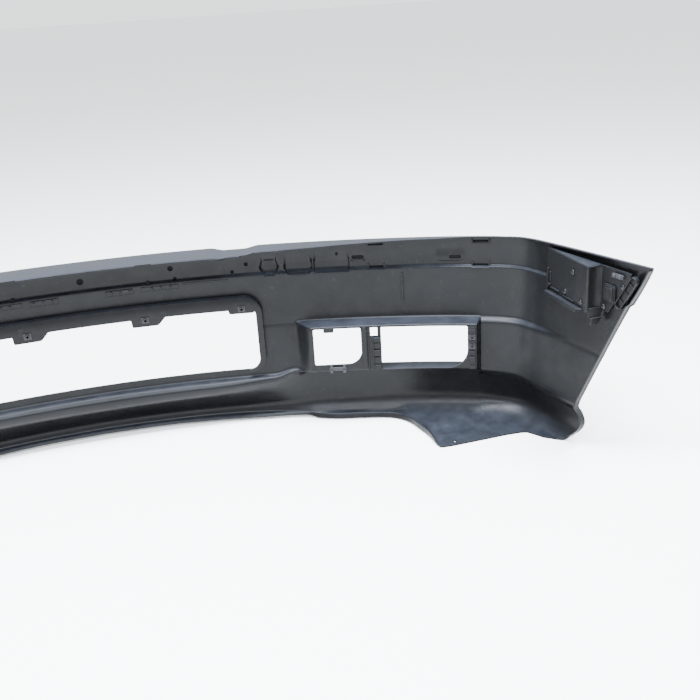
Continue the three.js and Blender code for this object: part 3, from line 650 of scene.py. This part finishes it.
# frame of the air opening: a shoulder standing inward and the flange hanging from it
path = []
for k in range(13):
    t = (k / 12 - 1) * math.pi / 2
    path.append((AIR_HALF - AIR_CORNER + AIR_CORNER * math.cos(t),
                 AIR_LOW + AIR_CORNER + AIR_CORNER * math.sin(t), -math.cos(t), -math.sin(t),
                 lerp(3, 9, k / 12)))
path += [(AIR_HALF, lerp(AIR_LOW + AIR_CORNER, AIR_TOP - AIR_CORNER, k / 8), -1, 0, 9)
         for k in range(1, 9)]
for k in range(1, 13):
    t = k / 12 * math.pi / 2
    path.append((AIR_HALF - AIR_CORNER + AIR_CORNER * math.cos(t),
                 AIR_TOP - AIR_CORNER + AIR_CORNER * math.sin(t), -math.cos(t), -math.sin(t),
                 lerp(9, AIR_FLANGE, k / 12)))
for k in range(1, 41):
    path.append(((AIR_HALF - AIR_CORNER) * (1 - k / 40), AIR_TOP, 0, -1, AIR_FLANGE))
path += [(-x, z, -nx, nz, w) for x, z, nx, nz, w in path[:-1][::-1]]
NEAR = -6 - AIR_LEDGE
loops = []
for x, z, nx, nz, w in path:
    base = skin_offset(min(abs(x) + 3, 340),
                       z - 3 if z < AIR_LOW + 9 else min(z + 3, AIR_TOP + 3)) + 1.4
    loop = [(-3, base), (-3, NEAR + 1.2), (-2.6, NEAR + 0.35), (-1.8, NEAR), (w - 0.8, NEAR),
            (w, NEAR + 0.8), (w, NEAR + 2.2), (w - 0.8, NEAR + 3), (0.6, NEAR + WALL), (0.6, base)]
    loops.append([wall_point(x + d * nx, z + d * nz, o) for d, o in loop])
skin = boolean(skin, Body().loft(loops).mesh("frame"), "UNION")

# grille tabs, then the lips of the wheel arches
tabs = Body()
for x, top, foot, drop in TABS:
    z0 = AIR_TOP - AIR_FLANGE + 1
    outline = [(-foot - 4, 0), (-foot - 2.6, -drop + 1.5), (-foot - 0.5, -drop), (foot - 1, -drop),
               (foot + 2, -drop + 1.5), (top, 0), (top, 4), (-foot - 4, 4)]
    for turn in (-1, 1):
        tab = Body().prism([(a * turn, b) for a, b in outline], wall_frame(x, z0, NEAR),
                           -WALL - 0.05, 0.05)
        tabs.join(tab if turn < 0 else tab.mirrored())
skin = boolean(skin, tabs.mesh("tabs"), "UNION")

arch_points = fine_rows(np.array([coarse_column(845)]))[0]
arch_points = [p for p in arch_points if 10.5 < p[2] < HEIGHT + END_RISE - WALL - 2][::2]
lip = []
for p in arch_points:
    q, n = plan_at(arch_run(p[2]))
    n3 = np.array([n[0], n[1], 0])
    t3 = np.array([-n[1], n[0], 0])
    lip.append([p + n3 * a - t3 * b for a, b in
                [(1, 0.3), (1, WALL), (-ARCH_LIP + 1, WALL), (-ARCH_LIP, WALL - 1),
                 (-ARCH_LIP, 1.2), (-ARCH_LIP + 1, 0.3)]])
lips = Body().loft(lip)
lips.join(lips.mirrored())
skin = boolean(skin, lips.mesh("lips"), "UNION")

# everything cut through the skin
cuts = Body()
# near-black discs at the bottoms of the blind holes: painted shade
hole_shade_discs = Body()
LEFT_OVER = 1.0                                # skin left at the bottom of a blind hole


def blind(x, z, outline, extra=0.0):
    """Blind hole from the inner face with a near-black disc at its bottom as painted shade; extra
    leaves more skin under it.
    """
    field = float(field_depth(np.array([float(x)]), np.array([float(z)]))[0])
    place = wall_frame(x, z, skin_offset(x, z) + field + WALL - LEFT_OVER - extra)
    cuts.prism(outline, place, 0, 22)
    hole_shade_discs.prism([(a * 0.97, b * 0.97) for a, b in outline], place, -0.25, 0.3)


def through(x0, x1, z0, z1, radii):
    """Opening through the back of the lamp pocket."""
    a, b = wall_point(x0, 0, BACK), wall_point(x1, 0, BACK)
    along = (b - a) / np.linalg.norm(b - a)
    centre = (a + b) / 2
    centre[2] = (z0 + z1) / 2
    up = np.array([0, 0, 1.0])
    cuts.prism(rounded(np.linalg.norm(b - a), z1 - z0, radii, 14),
               (centre, along, up, np.cross(along, up)), -12, 12)


OPEN_TOP = WALL_Z - 7
DUCT_LOW, LAMP_LOW = 124.0, 112.0
through(POCKET_IN + 1, DUCT_OUT, DUCT_LOW, OPEN_TOP, [26, 3, 3, 3])
through(LAMP_IN, LAMP_OUT, LAMP_LOW, OPEN_TOP, [38, 3, 2, 2])
through(LAMP_IN - 19, LAMP_IN - 6, OPEN_TOP - 17, OPEN_TOP, 1.5)
for x in (529, 706):
    for z in (HEIGHT - 9, BAND_Z + 2.5):
        blind(x, z, rounded(28, 3.6, 1, 3))
for x in (118, 304):
    origin, ax, up, inward = wall_frame(x, HEIGHT - 10, section(x)[0][0])
    cuts.prism(rounded(28, 9, 1, 3), (origin, ax, inward, up), 0, 20)
for x, z, r in [(47, 291, 3), (62, 289, 3), (77, 292, 3), (118, 300, 3.5), (161, 323, 5),
                (167, 303, 3.5), (271, 306, 3.5), (297, 319, 4), (460, 329, 2.5)]:
    near_step = z < BAND_Z + 4                 # at or below the step under the trim band
    blind(x, z, ring(r), extra=3.5 if near_step else 0.0)
blind(497, HEIGHT - 35, rounded(22, 7, 3.4, 5))
blind(664, HEIGHT - 39, rounded(22, 7, 3.4, 5))
cuts.prism(ring(3.5), (np.array([616, 252, 0.0]), np.array([1.0, 0, 0]), np.array([0, 1.0, 0]),
                       np.array([0, 0, 1.0])), -5, 25)
for z in LAMP_NUTS:
    cuts.prism(ring(2.6), wall_frame(LAMP_NUT_X, z, BACK), -12, 10)
for x, _, _, drop in TABS:                     # blind holes of the grille tabs
    cuts.prism(ring(3.2), wall_frame(x, tab_hole_z(drop), NEAR), -2, 20)
cuts.join(cuts.mirrored())
hole_shade_discs.join(hole_shade_discs.mirrored())
blind(0, HEIGHT - 38, ring(6))
skin = boolean(skin, cuts.mesh("cuts"), "DIFFERENCE")
add_object("cover_skin_shell", skin, SKIN, sharp=34, replaces=["cover_skin"])

# near-black plastic for painted shade in the blind holes and the nut threads
PAINTED_SHADE = plastic("shaded_hole", (0.0008, 0.0008, 0.0010), 0.8, dust_and_top_light=0.0)
add_object("painted_hole_shade", hole_shade_discs.mesh("painted_hole_shade"), PAINTED_SHADE)

# ---- moulded details standing on the inner face ----
details = Body()


def strip(x0, x1, z0, z1, proud, steps=10, sink=1.0):
    """Raised strip following the front wall."""
    loops = []
    for k in range(steps + 1):
        x = lerp(x0, x1, k / steps)
        o = [skin_offset(x, z) for z in (z0, z1)]
        loops.append([wall_point(x, z0, o[0] + sink), wall_point(x, z0, o[0] - proud * 0.4),
                      wall_point(x, z0 + 0.8, o[0] - proud), wall_point(x, z1 - 0.8, o[1] - proud),
                      wall_point(x, z1, o[1] - proud * 0.4), wall_point(x, z1, o[1] + sink)])
    details.loft(loops)


def block(x, z, w, h, low, high, o=BACK, r=1.0, body=None):
    (body or details).prism(rounded(w, h, r, 3), wall_frame(x, z, o), low, high)


strip(42, 90, 284, 294.5, 2.4)                 # raised fields round the number plate holes
strip(104, 172, 286, 294.5, 1.6)
strip(180, 262, 291, 295, 1.2)
for x, w in ((52, 3), (68, 3), (84, 4), (124, 4), (140, 3), (158, 3)):
    strip(x - w / 2, x + w / 2, 285.5, 293, 4.2, 2)
strip(571.6, 574.6, 235, 289, 3.4, 2)            # upright rib of the main wall
for x in (515, 543, 692, 720):                 # guides beside the trim clip slots
    block(x, BAND_Z + 4, 3, 8, -0.5, 3.2, o=0)
    block(x, HEIGHT - 9, 3, 7, -0.5, 3.0, o=-2)
for x in (529, 706):                           # their lower lips
    strip(x - 15, x + 15, BAND_Z - 1.8, BAND_Z + 0.2, 3.6, 4)
    strip(x - 15, x + 15, HEIGHT - 14, HEIGHT - 11.6, 2.6, 4)
# post between duct and lamp, the channel beside it and the lamp's own flanges
block(503, (DUCT_LOW + OPEN_TOP) / 2 - 3, 9, OPEN_TOP - DUCT_LOW + 10, -1, 6.5, r=3)
block(510, (LAMP_LOW + OPEN_TOP) / 2 - 8, 2.4, OPEN_TOP - LAMP_LOW - 10, -1, 3.2)
for z, h, high in ((172, 9, 4.4), (160, 11, 3.2), (146, 12, 4.6), (131, 13, 3.4), (117, 11, 4.8)):
    block(525.5, z, 13.5, h, -1, high)
block(518.5, (LAMP_LOW + 178) / 2, 2.2, 178 - LAMP_LOW, -1, 6)
block(531.6, (LAMP_LOW + OPEN_TOP) / 2, 2.0, OPEN_TOP - LAMP_LOW, -1, 2.6)
block(693.5, (LAMP_LOW + OPEN_TOP) / 2, 12.5, OPEN_TOP - LAMP_LOW - 2, -1, 1.4, r=3)
for z, h, high in ((188, 8, 3.6), (166.5, 4, 4.4), (146, 5, 4.4), (132, 10, 5.2), (116, 8, 3.0)):
    block(694, z, 10.5, h, 0, high)
# tab on the duct's upper edge
block(438.5, OPEN_TOP - 2.5, 19, 9, -2.5, 0.8, r=2)
details.join(details.mirrored())
add_object("moulded_details", details.mesh("moulded_details"), SKIN, bevel=0.5)


# ---- fitted pieces, built for the left side and mirrored ----
def pair(name, body, material, bevel=0.4, node=None, sharp=32):
    for side, part in (("left", body), ("right", body.mirrored())):
        add_object(f"{name}_{side}_piece", part.mesh(f"{name}_{side}_piece"), material,
                   sharp=sharp, bevel=bevel, replaces=[f"{node or name}_{side}"])


GAP, SHEET = 0.4, 2.6                          # clearance and wall of the fitted pieces
SEAT = -WALL - 4 - GAP                         # offset of the side wall face they sit on
BOX_TOP, BOX_LOW, BOX_IN = 352.0, 276.0, 786.0


def inside_wall(y, o):
    p, n = plan_at(run_at_y(y))
    return np.array([p[0] + n[0] * o, p[1] + n[1] * o])


corner_a = inside_wall(268, SEAT - SHEET)
corner_b = np.array([BOX_IN, 401.0])
corner_c = inside_wall(396, SEAT - SHEET)


def bracket_loop(z):
    leaf_end = min(458.0, 440 + (z - BOX_LOW - 44) * 0.625)
    face = [corner_a, lerp(corner_a, corner_b, 0.5)]
    for k in range(5):                         # rounded fold at the inner rear corner
        t = k / 4
        a, c = lerp(corner_b, corner_a, 0.025), lerp(corner_b, corner_c, 0.12)
        face.append((1 - t) ** 2 * a + 2 * t * (1 - t) * corner_b + t * t * c)
    for k in range(1, 9):                      # hollow rear face
        t = k / 9
        p = lerp(face[6], corner_c, t)
        face.append(p - np.array([0, 3.4 * math.sin(math.pi * t)]))
    face.append(corner_c)
    run = [inside_wall(lerp(405, leaf_end, k / 6), SEAT - SHEET) for k in range(7)]
    back = [inside_wall(lerp(leaf_end, 396, k / 6), SEAT) for k in range(7)]
    rear = [p - np.array([-SHEET * 0.3, SHEET]) for p in face[6:-1]][::-1]
    front = [corner_b + [SHEET, -SHEET - 1], inside_wall(268, SEAT)]
    return [np.array([x, y, z]) for x, y in face + run + back + rear + front]


bracket = Body()
bracket.loft([bracket_loop(z) for z in np.linspace(BOX_LOW, BOX_TOP, 12)])
flat_frame = (np.zeros(3), np.array([1.0, 0, 0]), np.array([0, 1.0, 0]), np.array([0, 0, 1.0]))
cap = [corner_a + 0.2, corner_b + [0.2, -0.2], corner_c - [0, 0.2]]
cap += [inside_wall(y, SEAT) for y in (390, 360, 330, 300, 272)]
bracket.prism([tuple(p) for p in cap], flat_frame, BOX_TOP - SHEET, BOX_TOP)
ledge = [corner_a + [-9, 8], corner_b + [-9, -20], corner_b + [1, -12], corner_a + [1, 2]]
bracket.prism([tuple(p) for p in ledge], flat_frame, BOX_LOW, BOX_LOW + SHEET)
ledge_edge = [corner_a + [-9, 8], corner_b + [-9, -20], corner_b + [-7.6, -20],
              corner_a + [-7.6, 8]]
bracket.prism([tuple(p) for p in ledge_edge], flat_frame, BOX_LOW - 5, BOX_LOW + 1)


def box_face(y):
    return lerp(corner_a[0], BOX_IN, (y - corner_a[1]) / (corner_b[1] - corner_a[1]))


box_normal = np.array([-(corner_b - corner_a)[1], (corner_b - corner_a)[0]])
box_normal /= np.linalg.norm(box_normal)


def on_box(y, z, off=0.0):
    """Frame on the box's inner face: along the face, up, and out of the face."""
    n = np.array([box_normal[0], box_normal[1], 0])
    return (np.array([box_face(y), y, z]) + n * off, np.array([-n[1], n[0], 0]) * -1,
            np.array([0, 0, 1.0]), n)


for y, z, w, h, high in ((276, 298, 5, 40, 3.0), (283, 290, 8, 4, 4.5), (285, 304, 3, 18, 2.2),
                         (300, 286, 30, 2.2, 2.4), (345, 283, 36, 2.0, 2.0)):
    bracket.prism(rounded(w, h, 0.9, 2), on_box(y, z), -0.5, high)
bracket.prism(ring(7.5, 20), on_box(333, BOX_LOW + 15), -0.5, 0.6)
upright = (np.array([0, corner_b[1] - 1.2, 0]), np.array([1.0, 0, 0]), np.array([0, 0, 1.0]),
           np.array([0, -1.0, 0]))
hook = [(BOX_IN + 8, BOX_LOW - 23), (BOX_IN + 22, BOX_LOW - 23), (BOX_IN + 26, BOX_LOW - 19),
        (BOX_IN + 30, BOX_LOW + 6), (BOX_IN + 5, BOX_LOW + 6), (BOX_IN + 5, BOX_LOW - 8),
        (BOX_IN + 9, BOX_LOW - 14)]
bracket.prism(hook, upright, 0, SHEET)
bracket.prism([(BOX_IN + 8, BOX_LOW - 23), (BOX_IN + 10.4, BOX_LOW - 23),
               (BOX_IN + 10.4, BOX_LOW - 12), (BOX_IN + 8, BOX_LOW - 12)], upright, -4, 0.4)
bracket.prism([(BOX_IN + 8, BOX_LOW - 12.5), (BOX_IN + 29, BOX_LOW - 12.5),
               (BOX_IN + 29, BOX_LOW - 10.5), (BOX_IN + 8, BOX_LOW - 10.5)], upright, -3, 0.4)
pair("side_bracket", bracket, BRACKET, bevel=0.7)

LEAF = SEAT - SHEET - GAP - 0.5
plate = Body()
place = side_frame(416, BOX_LOW + 34, LEAF)
plate.prism(rounded(27, 30, 5, 5), place, 0, 2.2)
plate.prism(rounded(23, 26, 4, 5), place, 2.0, 3.4)
plate.prism(rounded(19, 21, 4, 5), place, 3.2, 4.8)
for a in (-5, 0, 5):
    plate.prism([(a - 0.7, -8), (a + 0.7, -8), (a + 0.7, 8), (a - 0.7, 8)], place, 4.6, 5.5)
pair("backing_plate", plate, BRACKET, bevel=0.5)

clip = Body()
place = side_frame(433, BOX_TOP - 9, LEAF)
clip.prism(rounded(24, 7, 2, 4), place, 0, 4)
for y in (427, 439):
    clip.lathe([(0.01, 3.4), (3.0, 3.4), (3.0, 5.2), (2.4, 6.2), (0.01, 6.5)],
               side_frame(y, BOX_TOP - 9, LEAF), 20)
pair("wall_clip", clip, CLIP, bevel=0.5)

RAIL_LEAN, RAIL_LONG, RAIL_WIDE, RAIL_DEEP = -0.56, 68.0, 15.0, 7.0
rail = Body()
place = side_frame(452, BOX_LOW + 44, SEAT - 0.8)


def leaned(points):
    c, s_ = math.cos(RAIL_LEAN), math.sin(RAIL_LEAN)
    return [(a * c - b * s_, a * s_ + b * c) for a, b in points]


rail.prism(leaned(rounded(RAIL_WIDE, RAIL_LONG, 7, 8)), place, 0, 2.8)
outer, inner = (leaned(rounded(w, RAIL_LONG - d, r, 8))
                for w, d, r in ((RAIL_WIDE, 0, 7), (RAIL_WIDE - 4.4, 4.4, 4.8)))
origin, ax, ay, az = place
rail.loft([[origin + ax * a[0] + ay * a[1] + az * h for a, h in
            ((o, 2.6), (o, RAIL_DEEP - 0.6), (lerp(np.array(o), np.array(i), 0.2), RAIL_DEEP),
             (lerp(np.array(o), np.array(i), 0.8), RAIL_DEEP), (i, RAIL_DEEP - 0.6), (i, 2.6))]
           for o, i in zip(outer, inner)], closed=True)
for b in (-18, 0, 18):
    rail.prism(leaned([(-5, b - 0.7), (5, b - 0.7), (5, b + 0.7), (-5, b + 0.7)]), place, 2.6, 4.6)
pair("guide_rail", rail, RAIL, bevel=0.0)


def rivet(place, shank):
    """Blind rivet with a domed head and a broken-off mandrel."""
    dome = [(0.01, -shank), (2.3, -shank), (2.3, 0), (5.0, 0), (5.0, 0.35)]
    dome += [(5.0 * math.cos(t), 0.35 + 1.85 * math.sin(t)) for t in np.linspace(0.2, 1.25, 6)]
    dome += [(1.5, 2.15), (1.2, 1.6), (0.01, 1.6)]
    return Body().lathe(dome, place, 28)


for i, (y, z) in enumerate([(357, BOX_LOW + 56), (333, BOX_LOW + 15), (384, BOX_LOW + 13)]):
    o, _, up, _ = on_box(y, z)
    o = o + np.array([-0.3 - GAP, 0, 0])
    pair(f"box_rivet_{i + 1}", rivet((o, np.array([0, -1.0, 0]), up, np.array([-1.0, 0, 0])), 5),
         RIVET, bevel=0.0)
for i, (y, z) in enumerate([(441, BOX_TOP - 25), (402, BOX_LOW + 8)]):
    pair(f"wall_rivet_{i + 1}", rivet(side_frame(y, z, SEAT - SHEET - GAP), 1.8), RIVET,
         bevel=0.0)


def nut(place, w, h, thick, tower, radius, bore, start=0.0):
    """Folded spring nut: a small plate with a raised collar."""
    body = Body()
    origin, ax, ay, az = place
    loops = []
    for k in range(24):
        a = math.radians(-90) + 2 * math.pi * k / 24
        edge = (math.cos(a) * w / 2, math.sin(a) * h / 2)
        big = max(abs(edge[0]) / (w / 2), abs(edge[1]) / (h / 2))
        edge = (edge[0] / big * 0.99, edge[1] / big * 0.99)
        rim = (math.cos(a) * radius, math.sin(a) * radius)
        hole = (math.cos(a) * bore, math.sin(a) * bore)
        pts = [(edge, start), (edge, start + thick), (rim, start + thick), (rim, start + tower),
               (hole, start + tower), (hole, start)]
        loops.append([origin + ax * p[0] + ay * p[1] + az * q for p, q in pts])
    body.loft(loops, closed=True)
    return body


shadows = Body()                               # dark ends of the lamp nuts' threads
for i, (x, _, _, drop) in enumerate(TABS):
    place = wall_frame(x, tab_hole_z(drop), NEAR - GAP)
    pair(f"grille_nut_{i + 1}", nut(place, 14, 12, 1.5, 3.8, 4.2, 2.2), ZINC, bevel=0.25)
for i, z in enumerate(LAMP_NUTS):
    place = wall_frame(LAMP_NUT_X, z, BACK - GAP - 1.2)
    pair(f"lamp_nut_{i + 1}", nut(place, 12, 11, 1.6, 4.0, 3.8, 2.0), ZINC, bevel=0.25)
    shadows.prism(ring(1.9, 20), wall_frame(LAMP_NUT_X, z, BACK - 1.2), 0.2, 3.6)
shadows.join(shadows.mirrored())
add_object("thread_shadow", shadows.mesh("thread_shadow"), PAINTED_SHADE)

CLIP_X, CLIP_O = 452, BACK - 1.8               # place and face of the duct clip
clip = Body()
clip.prism(rounded(32, 7, 2, 4), wall_frame(CLIP_X, DUCT_LOW - 7, CLIP_O), 0, 2.4)
origin, ax, ay, az = wall_frame(CLIP_X, DUCT_LOW - 3, CLIP_O)
for a in (-12, 12):                            # its two hooks
    claw = [(0, -9), (2.5, -11), (5.4, -10.5), (7, -8), (7, -5.5), (5.4, -5.5), (5.2, -7.6),
            (4, -8.6), (2.4, -8), (2, -5), (2, 4), (0, 4)]
    clip.prism([(h, v) for h, v in claw], (origin, az, ay, ax), a - 2.5, a + 2.5)
pair("duct_clip", clip, CLIP, bevel=0.4)

# ---- stage, camera, light ----
floor_mesh = bpy.data.meshes.new("floor")
floor_mesh.from_pydata([(-30, -30, 0), (30, -30, 0), (30, 30, 0), (-30, 30, 0)], [], [(0, 1, 2, 3)])
floor = bpy.data.objects.new("floor", floor_mesh)
bpy.context.scene.collection.objects.link(floor)
pale = bpy.data.materials.new("pale_floor")
pale.use_nodes = True
pale.node_tree.nodes["Principled BSDF"].inputs["Base Color"].default_value = (0.9, 0.9, 0.9, 1)
pale.node_tree.nodes["Principled BSDF"].inputs["Roughness"].default_value = 0.9
floor_mesh.materials.append(pale)

YAW, PITCH, ROLL = 0.237991, 0.385126, 0.060579      # camera turn, downward tilt and roll
forward = Vector((-math.sin(YAW) * math.cos(PITCH), -math.cos(YAW) * math.cos(PITCH),
                  -math.sin(PITCH)))
right = Vector((-math.cos(YAW), math.sin(YAW), 0))
above = right.cross(forward)
right, above = (right * math.cos(ROLL) - above * math.sin(ROLL),
                above * math.cos(ROLL) + right * math.sin(ROLL))
camera_data = bpy.data.cameras.new("camera")
camera_data.lens, camera_data.sensor_width = 46.75, 36.0
CAMERA_AT = (-0.0935, 1.4061, 0.7902)
camera = bpy.data.objects.new("camera", camera_data)
bpy.context.scene.collection.objects.link(camera)
camera.matrix_world = Matrix(((right.x, above.x, -forward.x, CAMERA_AT[0]),
                              (right.y, above.y, -forward.y, CAMERA_AT[1]),
                              (right.z, above.z, -forward.z, CAMERA_AT[2]), (0, 0, 0, 1)))
bpy.context.scene.camera = camera

world = bpy.data.worlds.new("studio")
bpy.context.scene.world = world
world.use_nodes = True
world.node_tree.nodes["Background"].inputs["Color"].default_value = (0.95, 0.97, 1.0, 1)
world.node_tree.nodes["Background"].inputs["Strength"].default_value = 2.0


def area(name, at, aim, size, power):
    data = bpy.data.lights.new(name, "AREA")
    data.shape, data.size, data.size_y = "RECTANGLE", size[0], size[1]
    data.energy, data.color = power, (0.90, 0.94, 1.0)
    obj = bpy.data.objects.new(name, data)
    bpy.context.scene.collection.objects.link(obj)
    obj.location = at
    obj.rotation_euler = (Vector(aim) - Vector(at)).to_track_quat("-Z", "Y").to_euler()


area("top_softbox", (0, 0.35, 2.6), (0, 0.1, 0.2), (3.6, 0.42), 700)
area("front_softbox", (0.2, 2.1, 2.2), (0, 0.1, 0.1), (3.0, 0.42), 210)
